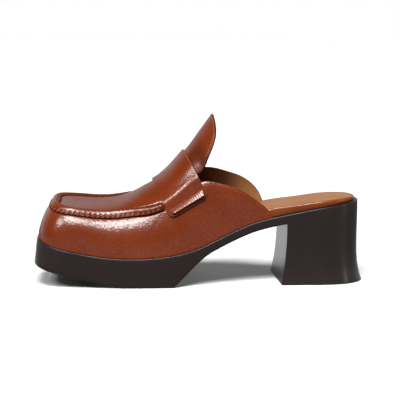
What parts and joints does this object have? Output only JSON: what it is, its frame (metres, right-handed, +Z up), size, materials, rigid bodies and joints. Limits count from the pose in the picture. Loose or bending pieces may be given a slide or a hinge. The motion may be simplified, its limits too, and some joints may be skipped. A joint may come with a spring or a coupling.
{
  "type": "heeled mule",
  "caption": "Square-toed leather slip-on mule with a raised apron seam, saddle strap, tall tongue, platform sole and block heel.",
  "frame": {"origin": "On the floor, below the middle of the shoe's box.", "axes": "+X runs from the toe to the heel, -Y is the outer side of this left shoe, +Z is up from the floor."},
  "size_m": [0.2658, 0.0871, 0.1348],
  "materials": {
    "outsole": "satin",
    "heel": "satin",
    "insole": "satin",
    "upper": "polished",
    "tongue": "polished",
    "strap": "polished"
  },
  "bodies": {
    "root": {"outsole": "outsole", "heel": "heel", "insole": "insole", "upper": "upper", "tongue": "tongue", "strap": "strap"}
  },
  "joints": []
}
